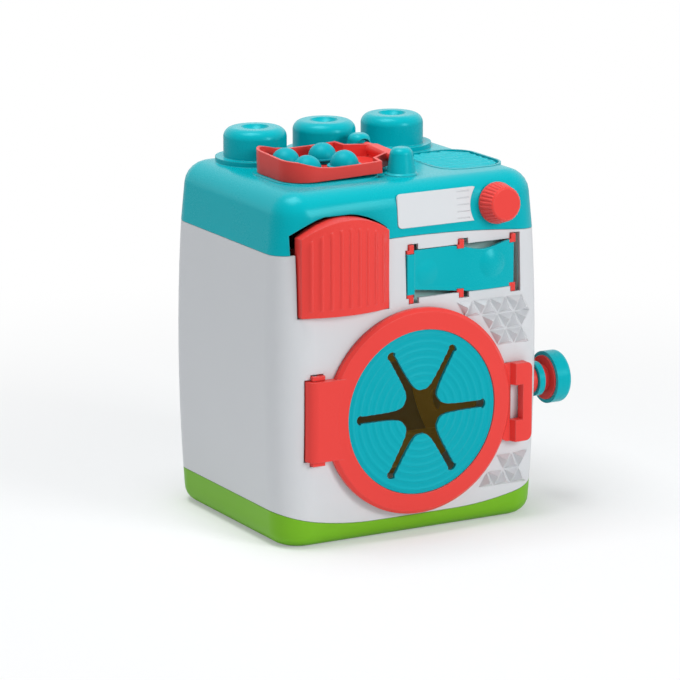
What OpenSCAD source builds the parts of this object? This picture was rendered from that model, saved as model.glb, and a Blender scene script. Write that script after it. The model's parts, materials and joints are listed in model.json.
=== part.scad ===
// Toy washing machine for a small child: a barrel-sided body with a round
// flexible door, a tumbling drum with a side crank, a detergent drawer,
// a clicking knob, a sliding wave panel and a rocking soap tray on the lid.
// Millimetres. +Z is up, the front looks along -Y, and the origin is on the
// floor under the middle of the base.

/* [Body] */
// Width of the body at its widest
body_w = 211.5; // [205:0.5:220]
// Depth of the body at its deepest
body_d = 172.5; // [170:0.5:180]
// Radius of the upright corners
corner_r = 26; // [24:0.5:28]
// Height of the widest level of the barrel sides
belly_z = 115; // [105:1:125]
// Radius of the barrel curve of the four sides
belly_r = 1500; // [1200:50:2500]
// Wall of the moulded shells
wall = 2.5; // [2:0.1:3]
// Height of the lid seam at the sides
seam_z = 204; // [203:0.5:206]
// Rise of the lid seam at the middle of the front
seam_rise = 6.7; // [4:0.1:8]

/* [Base] */
// Height of the base edge at the sides
base_z = 26.6; // [26:0.2:30]
// How far the base edge dips under the door
base_dip = 12.8; // [8:0.1:13]
// Half width of the level stretch of that dip
base_flat = 30; // [20:1:40]
// Radius of the rounded lower edge
base_round = 12; // [8:0.5:14]

/* [Lid] */
// Height of the flat top of the lid
lid_top = 246; // [244:0.5:248]
// Slope of the lid sides from upright, in degrees
lid_draft = 5.5; // [4:0.5:7]
// Radius of the lid's upper edge
lid_round = 17; // [14:0.5:18]
// Radius of a building stud
stud_r = 22.2; // [20:0.1:23]
// Height of the studs over the lid
stud_h = 24; // [20:0.5:26]
// Distance between stud centres
stud_pitch = 55; // [54:0.5:58]
// How far the stud row lies behind the middle
stud_y = 45.5; // [44:0.5:46]

/* [Door] */
// Height of the door centre
door_z = 88.8; // [87:0.1:90]
// Outer radius of the door ring
ring_r = 72.4; // [71.5:0.1:73]
// Radius of the membrane that shows
membrane_r = 57.9; // [57:0.1:59]
// Thickness of the membrane rim
membrane_t = 2.4; // [2:0.1:2.5]
// Reach of the six star arms
star_r = 51; // [44:0.1:52]
// Radius of the throat in the body front
throat_r = 56; // [54:0.5:57]
// Place of the hinge pin along X
hinge_x = -80; // [-81:0.5:-79]
// Radius of the hinge pin
hinge_pin_r = 2; // [1.5:0.1:2.5]
// Length of the door's hinge barrel
barrel_l = 56; // [50:1:62]

/* [Drum] */
// Radius of the drum
drum_r = 65.5; // [62:0.5:66]
// Half length of the drum
drum_half = 83; // [76:1:83]
// Place of the drum axis along Y
drum_y = -2; // [-2.5:0.5:-1]
// Radius of the drum shaft
shaft_r = 5; // [4:0.1:6]
// Running clearance of a shaft in its bush
run_fit = 0.06; // [0.03:0.01:0.1]

/* [Crank] */
// Distance from drum axis to handle axis
crank_l = 48; // [42:1:52]
// Thickness of the crank arm
crank_t = 6; // [5:0.5:7]
// Radius of the handle wheel
wheel_r = 18.6; // [17:0.1:20]
// Width of the handle wheel
wheel_w = 12.4; // [10:0.1:14]
// Radius of the handle pin
handle_pin_r = 3; // [2.5:0.1:3.5]

/* [Drawer] */
// Width of the drawer front
drawer_w = 67.7; // [64:0.1:68]
// Place of the middle of the drawer along X
drawer_x = -56.7; // [-57:0.1:-55]
// Height of the underside of the drawer front
drawer_z = 163.4; // [163:0.1:165]
// Height of the drawer front at its sides
drawer_side_h = 54; // [50:0.5:56]
// Rise of the arched top of the drawer front
drawer_arch = 11.6; // [10:0.1:13]
// Depth of the drawer box
drawer_l = 72; // [60:1:74]

/* [Wave panel] */
// Left edge of the window
window_x0 = -8.5; // [-10:0.5:-8]
// Right edge of the window
window_x1 = 81.7; // [80:0.1:82]
// Lower edge of the window
window_z0 = 167.5; // [167:0.5:169]
// Upper edge of the window
window_z1 = 201; // [199:0.5:201]
// Width of a red tab
tab_w = 5; // [4:0.1:6]
// Sideways travel of the panel
wave_slide = 4; // [3:0.5:4]

/* [Knob] */
// Place of the knob along X
knob_x = 65; // [64:0.5:66]
// Depth of the knob axis below the lid's top
knob_drop = 19.5; // [18:0.5:21]
// Radius of the knob at its foot
knob_r0 = 14.5; // [13:0.1:15]
// Radius of the knob at its face
knob_r1 = 11.2; // [10:0.1:12]
// Length of the knob
knob_l = 13.5; // [12:0.5:16]

/* [Rocking tray] */
// Place of the tray axle along X
rocker_x = 9; // [8:0.5:10]
// Height of the tray axle over the lid
rocker_h = 10.5; // [10:0.5:11]
// Distance between the two posts
post_gap = 59; // [57:0.5:60]
// Place of the middle of the tray along Y
tray_y = -18; // [-19:0.5:-17]
// Length of the wide part of the tray
tray_l = 70; // [60:1:72]
// Width of the tray
tray_w = 66; // [60:1:68]
// Tilt of the tray at rest, in degrees
tray_tilt = 1.7; // [1:0.1:2]
// Radius of a bubble dome
bubble_r = 10; // [8:0.1:11]

/* [Fasteners] */
// Radius of a screw's shank
screw_r = 1.45; // [1.2:0.05:1.6]
// Radius of a screw's head
head_r = 2.9; // [2.5:0.1:3]

/* [Hidden] */
$fn = 64;

teal = [0, 0.65, 0.70];
red = [0.91, 0.27, 0.25];
white = [0.88, 0.88, 0.89];
green = [0.46, 0.72, 0.15];
amber = [0.85, 0.62, 0.15];
steel = [0.7, 0.7, 0.72];
dark = [0.15, 0.15, 0.16];

eps = 0.01;
seam_gap = 0.25;       // shadow line between two shells
seat = 0.3;            // gap where a piece lies on another without a fit
knob_z = lid_top - knob_drop;
rocker_z = lid_top + rocker_h;
lip_h = 4;             // height of a locating lip inside a seam
lip_t = 1.8;
front_y = -body_d / 2;
side_x = body_w / 2;

// a length to the nearest thousandth, so that faces made apart still meet
function fine(v) = round(v * 1000) / 1000;
// half width lost to the barrel curve at a height
function barrel_loss(z) = belly_r - sqrt(belly_r * belly_r - (z - belly_z) * (z - belly_z));
// radius of a circle through the ends and the top of an arch
function arch_r(half, rise) = (half * half + rise * rise) / (2 * rise);

// ---------- shared outlines ----------

// Box with rounded upright corners whose walls follow a section: a list of
// [distance outward from the corner's centre, height], listed upward
module swept_box(section) {
  cx = side_x - corner_r;
  cy = -front_y - corner_r;
  low = section[0][1];
  high = section[len(section) - 1][1];
  for (i = [0:3]) translate([(i == 0 || i == 3 ? 1 : -1) * cx, (i < 2 ? 1 : -1) * cy, 0])
    rotate([0, 0, 90 * i]) rotate_extrude(angle = 90) polygon(concat([[0, low]], section, [[0, high]]));
  rotate([90, 0, 0]) linear_extrude(2 * cy, center = true) both_sides(cx, section);
  rotate([90, 0, 90]) linear_extrude(2 * cx, center = true) both_sides(cy, section);
}

module both_sides(c, section) polygon(concat(
  [for (p = section) [c + p[0], p[1]]],
  [for (i = [len(section) - 1:-1:0]) [-c - section[i][0], section[i][1]]]));

// Section of the body: barrel sides over a rounded lower edge
barrel_steps = 10;
round_steps = 6;
function body_section(inset, z1) = let (
    low = inset,
    r = base_round - inset / 2,
    foot = corner_r - barrel_loss(low + r) - inset - r)
  concat(
    [for (i = [round_steps:-1:1]) let (a = 90 * i / round_steps) [fine(foot + r * cos(a)), fine(low + r - r * sin(a))]],
    [for (i = [0:barrel_steps]) let (z = low + r + i * (z1 - low - r) / barrel_steps)
      [fine(corner_r - barrel_loss(z) - inset), fine(z)]]);
module body_form(inset, z1) swept_box(body_section(inset, z1));

// Section of the lid: a sloping side and a rounded upper edge
function lid_section(inset, z0) = let (
    r = lid_round - inset,
    out = corner_r - barrel_loss(seam_z) - inset / cos(lid_draft),
    cz = lid_top - inset - r,
    cx = out - (cz - seam_z) * tan(lid_draft) - r / cos(lid_draft))
  concat([[fine(out + (seam_z - z0) * tan(lid_draft)), z0]],
    [for (i = [0:round_steps]) let (a = lid_draft + (90 - lid_draft) * i / round_steps)
      [fine(cx + r * cos(a)), fine(cz + r * sin(a))]]);
module lid_form(inset, z0) swept_box(lid_section(inset, z0));

// Upright ring that follows the body's plan, inset from its face at the seam
module plan_ring(z, inset, t, z0, z1) translate([0, 0, z0]) linear_extrude(z1 - z0) difference() {
  loss = 2 * (barrel_loss(z) + inset);
  round_rect(body_w - loss, body_d - loss, corner_r - loss / 2);
  round_rect(body_w - loss - 2 * t, body_d - loss - 2 * t, corner_r - loss / 2 - t);
}

// Everything under the arched seam, shifted up by h
module under_seam(h) {
  r = arch_r(side_x, seam_rise);
  translate([0, 0, seam_z + seam_rise + h - r]) rotate([90, 0, 0])
    cylinder(r = r, h = 2 * body_d, center = true);
}

// Everything over the dipping base edge, shifted up by h
base_run = side_x - base_flat;       // length of one sloping end of the edge
function base_edge(t) = arch_r(base_run, base_dip)
  - sqrt(pow(arch_r(base_run, base_dip), 2) - pow(t * base_run, 2));
base_steps = 12;
module over_base(h) rotate([90, 0, 0]) linear_extrude(2 * body_d, center = true)
  translate([0, base_z - base_dip + h]) polygon(concat(
    [[side_x, 3 * base_z], [-side_x, 3 * base_z]],
    [for (i = [base_steps:-1:0]) [-base_flat - i / base_steps * base_run, base_edge(i / base_steps)]],
    [for (i = [0:base_steps]) [base_flat + i / base_steps * base_run, base_edge(i / base_steps)]]));

// Rounded rectangle with true arcs
module round_rect(w, h, r) {
  square([w - 2 * r, h], center = true);
  square([w, h - 2 * r], center = true);
  for (sx = [-1, 1], sy = [-1, 1])
    translate([sx * (w / 2 - r), sy * (h / 2 - r)]) circle(r = r);
}

// A self-tapping screw: its head sits at the origin and its shank runs up +Z
module screw(l) {
  cylinder(r = head_r, h = 1.8);
  cylinder(r = screw_r, h = l);
}

// places that repeat
base_posts = [for (sx = [-1, 1], sy = [-1, 1]) [sx * (side_x - 26), sy * (-front_y - 26)]];
tub_posts = [for (sx = [-1, 1], sy = [-1, 1]) [sx * 60, drum_y + sy * 26]];
lid_posts = [[-(side_x - 12), 5], [-(side_x - 12), 45], [side_x - 12, -45], [side_x - 12, 45]];
post_r = 5;
tab_neck = 3.4;             // width of a tab where it leaves the window
tab_h = 3.5;                // how far the red tabs reach past the window
back_y = front_y + wall + barrel_loss(window_z1 + tab_h) + 2 * seat;  // inside of the front wall
housing_t = 1.5;
housing_x0 = window_x0 - 4;
housing_x1 = window_x1 + 2.5;
housing_z0 = window_z0 - tab_h - seat - housing_t;
housing_z1 = window_z1 + tab_h + seat + housing_t;
housing_d = 8;
lid_post_z = seam_z - 14;   // where body post and lid post meet
pilot = screw_r + 0.03;
head_sink = 2;              // depth of a screw head's recess in the base

// ---------- base ----------

module base_tray() color(green) difference() {
  union() {
    difference() {
      body_form(0, base_z + 2);
      body_form(wall, base_z + 3);
      over_base(-seam_gap);
    }
    // locating lip inside the body shell
    difference() {
      plan_ring(base_z - base_dip, wall + seam_gap, lip_t, base_z - base_dip - lip_h, base_z + lip_h + 2);
      over_base(lip_h);
    }
  }
  for (p = concat(base_posts, tub_posts)) translate([p[0], p[1], 0]) {
    cylinder(r = screw_r + 0.3, h = 12);
    translate([0, 0, -eps]) cylinder(r = head_r + 0.3, h = head_sink);
  }
}

module base_screws() color(steel)
  for (p = concat(base_posts, tub_posts)) translate([p[0], p[1], head_sink - 1.8 - 0.05]) screw(16);

// ---------- body shell ----------

hinge_y = front_y + 0.8;
barrel_r = 7;
ear_h = 3;
ear_x = hinge_x - 3.2;               // the bracket's ears and plate along X
ear_w = 9.5;
hinge_z = door_z + 2.4;              // middle of the hinge
pocket_y = front_y + 10.8;           // floor of the hinge pocket
ring_back = front_y - 0.35;          // back plane of the closed door
tub_r = drum_r + 4.5;                // outside of the tub
tub_wall = 2;
tub_half = drum_half + 5;
throat_wall = 2.2;
opening_w = drawer_w + 2;
clip_gap = 0.7;                      // clears the barrel of the front wall
hook_x = 71;                         // latch hook behind the tab
latch_z = door_z - 2.8;
hook_z = latch_z + 2.8;

module pocket(grow) {
  // barrel well and ear slots of the hinge
  translate([hinge_x - barrel_r - 0.6 - grow, front_y - 5, hinge_z - barrel_l / 2 - 0.8 - grow])
    cube([2 * barrel_r + 1.2 + 2 * grow, pocket_y - front_y + 5 + grow, barrel_l + 1.6 + 2 * grow]);
  translate([ear_x - 0.2 - grow, front_y - 5, hinge_z - barrel_l / 2 - ear_h - 1.2 - grow])
    cube([ear_w + 0.4 + 2 * grow, pocket_y - front_y + 5 + grow, barrel_l + 2 * ear_h + 2.4 + 2 * grow]);
}

relief_pitch = 13.2;                 // side of one triangle of the pattern
relief_row = relief_pitch * sin(60);
relief_h = 5;
relief_x = 37.5;                     // first point of the upper rows
relief_z = 149.6;                    // lower edge of their top row
relief_low = 37;                     // lower edge of the top row under the latch

// Three-sided point standing out along -Y
module point_stud(x, z, down) translate([x, front_y + barrel_loss(z) + 0.4, z]) rotate([90, 0, 0])
  rotate([0, 0, down ? -90 : 90])
    cylinder(r1 = relief_pitch / sqrt(3) - 0.3, r2 = 0.6, h = relief_h + 0.4, $fn = 3);

// One row of points; x is the first column, z the row's lower edge
module relief_line(x, z, first_down, n) for (i = [0:n - 1]) {
  down = (i % 2 == 0) == first_down;
  point_stud(x + i * relief_pitch / 2, z + relief_row * (down ? 2 / 3 : 1 / 3), down);
}

// Studded relief to the right of the door
module relief() {
  relief_line(relief_x, relief_z, true, 8);
  relief_line(relief_x + 1.5 * relief_pitch, relief_z - relief_row, true, 5);
  relief_line(relief_x + 2 * relief_pitch, relief_z - 2 * relief_row, true, 4);
  relief_line(relief_x + 2.5 * relief_pitch, relief_low, true, 3);
  relief_line(relief_x + 1.5 * relief_pitch, relief_low - relief_row, false, 5);
}

tab_x = [window_x0 + 3.2, (window_x0 + window_x1) / 2 - 2.2, window_x1 - 5.9];

module window_cut(y0, y1) {
  translate([window_x0, y0, window_z0])
    cube([window_x1 - window_x0, y1 - y0, window_z1 - window_z0]);
  for (x = tab_x) translate([x + tab_w / 2 - tab_neck - 0.4, y0, window_z0 - tab_h - 0.4])
    cube([tab_neck + 0.8 + wave_slide, y1 - y0, window_z1 - window_z0 + 2 * tab_h + 0.8]);
}

module body_shell() color(white) difference() {
  union() {
    difference() {
      body_form(0, seam_z + seam_rise + 2);
      body_form(wall, seam_z + seam_rise + 3);
    }
    // throat of the door, back to the tub
    difference() {
      intersection() {
        translate([0, front_y + 1, door_z]) rotate([-90, 0, 0])
          cylinder(r = throat_r + throat_wall, h = 50);
        body_form(1, seam_z);
      }
      translate([0, drum_y, door_z]) rotate([0, 90, 0])
        cylinder(r = tub_r + seat, h = body_w, center = true);
    }
    intersection() {
      pocket(2);
      body_form(1, seam_z);
    }
    relief();
    // bosses for the base screws, on ribs to the side walls
    for (p = base_posts) {
      translate([p[0], p[1], wall + seat]) cylinder(r = post_r, h = base_z + 6);
      side_rib(p, base_z + lip_h + 1, 10, 3.2);
    }
    // bosses for the lid screws
    for (p = lid_posts) {
      translate([p[0], p[1], lid_post_z - 16]) cylinder(r = post_r, h = 16);
      lid_rib(p, lid_post_z - 16, 16);
    }
  }
  over_base_keep();
  above_seam();
  translate([0, front_y - 10, door_z]) rotate([-90, 0, 0]) cylinder(r = throat_r, h = 60);
  pocket(0);
  translate([drawer_x - opening_w / 2, front_y - 10, drawer_z - 1])
    cube([opening_w, 30, seam_z]);
  window_cut(front_y - 5, front_y + 8);
  translate([hook_x - 2.4, front_y - 2, hook_z - 4.5]) cube([4.8, 8, 9]);
  translate([side_x - 10, drum_y, door_z]) rotate([0, 90, 0]) cylinder(r = shaft_r + 4, h = 20);
  for (p = base_posts) translate([p[0], p[1], 0]) cylinder(r = pilot, h = 40);
  for (p = lid_posts) translate([p[0], p[1], lid_post_z - 20]) {
    cylinder(r = screw_r + 0.3, h = 30);
    cylinder(r = head_r + 0.3, h = 8);
  }
}

// A rib from a lid post to the side wall
module lid_rib(p, z, h) side_rib(p, z, h, 3.2);

// A rib from a post to the side wall, reaching depth short of the widest face
module side_rib(p, z, h, depth) translate([p[0] > 0 ? p[0] : depth - side_x, p[1] - 1, z])
  cube([side_x - depth - abs(p[0]), 2, h]);

// What lies under the base edge
module over_base_keep() difference() {
  translate([-body_w, -body_d, -1]) cube([2 * body_w, 2 * body_d, base_z + 1]);
  over_base(0);
}

// What lies over the lid seam
module above_seam() difference() {
  translate([-body_w, -body_d, seam_z - 1]) cube([2 * body_w, 2 * body_d, seam_rise + 10]);
  under_seam(-seam_gap);
}

// ---------- lid ----------

flange_h = 3.4;
flange_r = 28;
panel_y = front_y + barrel_loss(seam_z);
// the sloping front of the lid at a height
function lid_front(z) = panel_y + (z - seam_z) * tan(lid_draft);
post_h = 19;                         // height of a rocker post over the lid
post_tip = 8;
post_round = 5;
front_post = [rocker_x, tray_y - post_gap / 2];
back_post = [rocker_x, tray_y + post_gap / 2];
axle_r = 2;

module stud() {
  cylinder(r = flange_r, h = flange_h);
  rotate_extrude() difference() {
    union() {
      square([stud_r, stud_h - 7]);
      square([stud_r - 7, stud_h]);
      translate([stud_r - 7, stud_h - 7]) circle(r = 7);
    }
    translate([-stud_r, -1]) square([stud_r, 60]);
    // dimple in the top
    translate([0, stud_h + 6]) circle(r = 11.5);
  }
}

module stud_hollow() {
  translate([0, 0, -wall - 1]) cylinder(r = stud_r - wall, h = stud_h - 7 + 1);
}

module post(p) translate([p[0], p[1], lid_top - wall]) rotate_extrude() {
  polygon([[0, 0], [11.4, 0], [11.4, wall + 0.8], [10, wall + 1.8], [post_tip, post_h + wall - post_round],
    [post_tip - post_round, post_h + wall], [0, post_h + wall]]);
  translate([post_tip - post_round, post_h + wall - post_round]) intersection() {
    circle(r = post_round);
    square(post_round);
  }
}

drawer_lean = 3;                     // how far the gap round the drawer widens at its left
board_w = 50;
board_l = 66;
board_x = 67.5;
board_y = -19;
board_r = 18;
board_sink = 2;                      // depth of the washboard's floor below the lid's top
rib_pitch = 5.6;
rib_r = 1.9;

// the washboard's outline, grown outward, from one height to another
module board_slab(grow, z0, z1) translate([board_x, board_y, z0]) linear_extrude(z1 - z0)
  round_rect(board_w + 2 * grow, board_l + 2 * grow, board_r + grow);

module washboard_cut() board_slab(0, lid_top - board_sink, lid_top + 10);

module washboard_ribs() intersection() {
  board_slab(-2, lid_top - wall - 0.5, lid_top + wall);
  translate([board_x, board_y, lid_top - board_sink]) rotate([0, 0, 45])
    for (i = [-8:8]) translate([i * rib_pitch, 0, 0]) rotate([90, 0, 0])
      cylinder(r = rib_r, h = 100, center = true, $fn = 24);
}

plate_x0 = -13.5;
plate_x1 = 49;
plate_h = 23.5;
plate_z = knob_z + 1.5;

// placed on the sloping front of the lid, with z outward
module on_panel(x, z) translate([x, lid_front(z), z]) rotate([90 - lid_draft, 0, 0]) children();

module plate_outline(inset) difference() {
  translate([(plate_x0 + plate_x1) / 2 - knob_x, 0])
    round_rect(plate_x1 - plate_x0 - 2 * inset, plate_h - 2 * inset, 3 - inset);
  translate([0, knob_z - plate_z]) circle(r = knob_r0 + 6.8 + inset);
}

// the cut in lid and body that the drawer front stands in
module drawer_arch_form(grow, y0, y1) {
  half = drawer_w / 2 + grow;
  top = drawer_z + drawer_side_h + grow;
  r = arch_r(drawer_w / 2, drawer_arch);
  translate([drawer_x, y1, 0]) rotate([90, 0, 0]) linear_extrude(y1 - y0) intersection() {
    translate([-half, drawer_z - grow]) square([2 * half, drawer_side_h + drawer_arch + 2 * grow]);
    translate([0, top + drawer_arch - r - 0]) circle(r = r + grow);
  }
}

module lid_cover() color(teal) difference() {
  union() {
    difference() {
      lid_form(0, seam_z - 10);
      lid_form(wall, seam_z - 11);
      under_seam(0);
    }
    // locating lip inside the body
    difference() {
      plan_ring(seam_z + seam_rise + 4, wall + seam_gap, lip_t, seam_z - lip_h, seam_z + seam_rise + 6);
      under_seam(-lip_h);
    }
    for (i = [-1:1]) translate([i * stud_pitch, stud_y, lid_top - eps]) stud();
    post(front_post);
    post(back_post);
    // rim of the washboard, and a thicker roof under it
    board_slab(1.6, lid_top - 5, lid_top + 0.4);
    // low pad under the tray
    translate([neck_x - tray_l / 2 + 1, tray_y, lid_top - eps]) linear_extrude(0.8 + eps)
      round_rect(tray_l + 8, tray_w + 6, 24);
    for (p = lid_posts) {
      translate([p[0], p[1], lid_post_z + seat]) cylinder(r = post_r - 0.5, h = 24);
      lid_rib(p, seam_z + 1, 9);
    }
  }
  for (i = [-1:1]) translate([i * stud_pitch, stud_y, lid_top]) stud_hollow();
  washboard_recess();
  // pocket in the pad that the tray rocks over
  translate([neck_x - tray_l / 2 + 2, tray_y, lid_top - 1.2]) linear_extrude(10)
    round_rect(tray_l - 24, tray_w - 26, 14);
  // axle bores
  translate([rocker_x, tray_y, rocker_z]) rotate([90, 0, 0])
    cylinder(r = axle_r + run_fit, h = post_gap + 8, center = true);
  // wide mouth of the back post's bore
  translate([rocker_x, back_post[1] - 4, rocker_z]) rotate([90, 0, 0]) cylinder(r = 5.6, h = 10);
  translate([-drawer_lean, 0, 0]) drawer_arch_form(0.9, front_y - 20, front_y + 20);
  drawer_arch_form(0.7, front_y - 20, front_y + 20);
  translate([housing_x0 - 1, back_y - 0.3, seam_z - 6]) cube([housing_x1 - housing_x0 + 2, housing_d + 1, housing_z1 + seat + 6 - seam_z]);
  // seat of the plate and hole of the knob
  on_panel(knob_x, plate_z) translate([0, 0, -0.9]) linear_extrude(5) plate_outline(-0.15);
  on_panel(knob_x, knob_z) translate([0, 0, -10]) cylinder(r = knob_stem_r + run_fit, h = 30);
  for (p = lid_posts) translate([p[0], p[1], lid_post_z - 1]) cylinder(r = pilot, h = 24);
}

module washboard_recess() difference() {
  washboard_cut();
  washboard_ribs();
}

module lid_screws() color(steel)
  for (p = lid_posts) translate([p[0], p[1], lid_post_z - 12 - 1.8]) screw(26);

module label_plate() color(white) on_panel(knob_x, plate_z) difference() {
  translate([0, 0, -0.9 + 0.05]) linear_extrude(1.5) plate_outline(0);
  for (i = [-2:2]) translate([-27, i * 4.6, 0.65]) cube([9.5, 0.8, 0.9], center = true);
}

// ---------- shelf ----------

deck_t = 2;
deck_z = housing_z0 - deck_t - 0.05;  // underside of the shelf
deck_loss = 2 * (barrel_loss(drawer_z) + wall + 0.3);
module inner_deck() color(white) difference() {
  translate([0, 0, deck_z]) linear_extrude(deck_t)
    round_rect(body_w - deck_loss, body_d - deck_loss, corner_r - deck_loss / 2);
  // room for the body and lid posts
  for (p = lid_posts) translate([p[0], p[1], deck_z - 1]) cylinder(r = post_r + 1, h = 4);
}

// ---------- knob ----------

knob_stem_r = 4;
stem_l = 12;

module knob() color(red) on_panel(knob_x, knob_z) difference() {
  union() {
    translate([0, 0, 0.4]) rotate_extrude()
      polygon([[0, 0], [knob_r0, 0], [knob_r0, 1.2], [knob_r1 + 0.8, knob_l - 1.8],
        [knob_r1 - 0.8, knob_l - 0.4], [0, knob_l - 0.4]]);
    translate([0, 0, -stem_l]) cylinder(r = knob_stem_r, h = stem_l + 2);
  }
  // grip flutes
  for (i = [0:29]) rotate([0, 0, i * 12]) translate([knob_r0 + 0.35, 0, 2])
    rotate([0, -atan((knob_r0 - knob_r1) / knob_l), 0]) cylinder(r = 0.9, h = knob_l, $fn = 16);
  translate([0, 0, -stem_l - 1]) cylinder(r = pilot, h = 10);
}

module knob_spring() color(white) on_panel(knob_x, knob_z) translate([0, 0, -wall - 3.6]) difference() {
  union() {
    cylinder(r = 7, h = 2.9);
    translate([-3, 0, 0]) cube([6, 9.6, 1.6]);
  }
  translate([0, 0, -1]) cylinder(r = knob_stem_r + run_fit, h = 6);
}

module knob_screw() color(steel) on_panel(knob_x, knob_z) translate([0, 0, -stem_l - 2.2]) {
  cylinder(r = 6, h = 2);
  cylinder(r = screw_r, h = 9);
}

// ---------- drawer ----------

front_bow = 7.5;
flank = 9.5;                      // depth of the front's side flanks
front_face = front_y - 0.5;       // the face at its sides
box_w = drawer_w - 5;
box_h = 42;

module drawer_bow(t) {
  r = arch_r(drawer_w / 2, front_bow);
  translate([drawer_x, front_face + r - front_bow, 0]) cylinder(r = r - t, h = 400, $fn = 128);
}

module drawer_front() color(red) difference() {
  intersection() {
    drawer_arch_form(0, front_face - 20, front_face + flank);
    union() {
      drawer_bow(0);
      translate([drawer_x - drawer_w, front_face + front_bow, 0]) cube([2 * drawer_w, 20, 400]);
    }
  }
  // hollow back
  difference() {
    drawer_arch_form(-2.4, front_face - 20, front_face + flank + 1);
    difference() {
      translate([drawer_x - drawer_w, front_face - 30, 0]) cube([2 * drawer_w, 60, 400]);
      drawer_bow(2.6);
      translate([drawer_x - drawer_w, front_face + 2.6, 0]) cube([2 * drawer_w, 30, 400]);
    }
  }
  // upright grooves, each ending in a dot
  for (i = [-4:4]) {
    x = i * drawer_w / 10;
    r = arch_r(drawer_w / 2, front_bow);
    a = arch_r(drawer_w / 2, drawer_arch);
    top = drawer_z + drawer_side_h + drawer_arch - a + sqrt(a * a - x * x) - 6;
    translate([drawer_x + x, front_face + r - front_bow - sqrt(r * r - x * x) - 0.35, drawer_z - 1])
      cylinder(r = 0.9, h = top - drawer_z, $fn = 16);
  }
}

module drawer_box() color(red) {
  y0 = front_face + flank + 0.05;
  difference() {
    translate([drawer_x - box_w / 2, y0, drawer_z + 2])
      cube([box_w, drawer_l - flank, box_h]);
    translate([drawer_x - box_w / 2 + 1.8, y0 + 1.8, drawer_z + 3.8])
      cube([box_w - 3.6, drawer_l - flank - 3.6, box_h]);
  }
  // clips into the hollow front
  for (s = [-1, 1]) translate([drawer_x + s * box_w / 3 - 3, y0 - 4, drawer_z + 14]) cube([6, 4.1, 18]);
}

// Rail beside the drawer box with a ledge under its edge
module runner(s) color(white) {
  x = drawer_x + s * (box_w / 2 + 0.4);
  rail_z = deck_z + deck_t + 0.05;
  translate([s > 0 ? x : x - 2, front_y + 14, rail_z]) cube([2, drawer_l - 8, 16]);
  translate([s > 0 ? x - 2.4 : x - 2, front_y + 14, rail_z]) cube([4.4, drawer_l - 8, drawer_z + 2 - seat - rail_z]);
}

// ---------- wave panel ----------

panel_t = 2;
panel_mid = back_y - 2.9;        // mean place of the panel's back
wave_n = 28;
wave_x0 = window_x0 + 0.6;
wave_x1 = window_x1 - wave_slide - 0.6;
// depth of the wave, and the arched upper and lower edges, along the panel
strip_u = 2 / wave_n;            // share of the panel taken by the flat strip at its left
function wave_y(u) = u <= strip_u ? 0.6 : -1.9 * sin(360 * 1.1 * (u - strip_u));
function wave_top(u) = window_z1 - 0.5 - 3.8 * pow(sin(180 * min(1, max(0, u - 0.42) / 0.55)), 2);
function wave_low(u) = window_z0 + 0.5 + (u <= strip_u ? 0 : 5.4 * pow(max(0, 1 - (u - strip_u) / 0.55), 1.4));
function wave_x(i) = wave_x0 + i / wave_n * (wave_x1 - wave_x0);

module wave_panel() color(teal) difference() {
  intersection() {
    linear_extrude(300) polygon(concat(
      [for (i = [0:wave_n]) [wave_x(i), panel_mid - wave_y(i / wave_n) - panel_t]],
      [for (i = [wave_n:-1:0]) [wave_x(i), panel_mid - wave_y(i / wave_n)]]));
    rotate([90, 0, 0]) linear_extrude(300, center = true) polygon(concat(
      [for (i = [0:wave_n]) [wave_x(i), wave_low(i / wave_n)]],
      [for (i = [wave_n:-1:0]) [wave_x(i), wave_top(i / wave_n)]]));
  }
  for (x = tab_x) tab_blocks(x, 0.03);
}

// the two red ends of a bar
bar_y = back_y + 2.2;
tab_in = 2.4;                    // how far a tab reaches into the window
module tab_blocks(x, grow) {
  for (z = [window_z0 + 0.1, window_z1 - tab_in - 0.1]) translate([x - tab_w / 2 - grow, front_y + 0.8, z - grow])
    cube([tab_w + 2 * grow, bar_y - front_y, tab_in + 2 * grow]);
  for (z = [window_z0 - tab_h, window_z1 - tab_in]) translate([x + tab_w / 2 - tab_neck, front_y + 0.8, z - grow])
    cube([tab_neck + grow, bar_y - front_y, tab_h + tab_in + 2 * grow]);
}

// A red bar behind the panel whose two ends show in the notches
module wave_bar(i) color(red) {
  translate([tab_x[i] - tab_w / 2, bar_y, window_z0 - tab_h])
    cube([tab_w, 2.6, window_z1 - window_z0 + 2 * tab_h]);
  tab_blocks(tab_x[i], 0);
}

// Box behind the window that the bars slide in
module wave_housing() color([0.75, 0.9, 0.88]) difference() {
  translate([housing_x0, back_y, housing_z0])
    cube([housing_x1 - housing_x0, housing_d, housing_z1 - housing_z0]);
  translate([housing_x0 + housing_t, back_y - 1, housing_z0 + housing_t])
    cube([housing_x1 - housing_x0 - 2 * housing_t, housing_d - housing_t + 1, housing_z1 - housing_z0 - 2 * housing_t]);
}

// ---------- door ----------

module around_door() translate([0, ring_back, door_z]) rotate([90, 0, 0]) children();

clamp_r = ring_r - 3.8;
rim_r = membrane_r + 5.5;
clamp_t = 2;
face_t = 6.6;
door_screw_n = 6;
tab_half = 28;
tab_t = 7;                           // how far the latch tab stands off the body
tab_x1 = 88.6;                       // free edge of the latch tab

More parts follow.
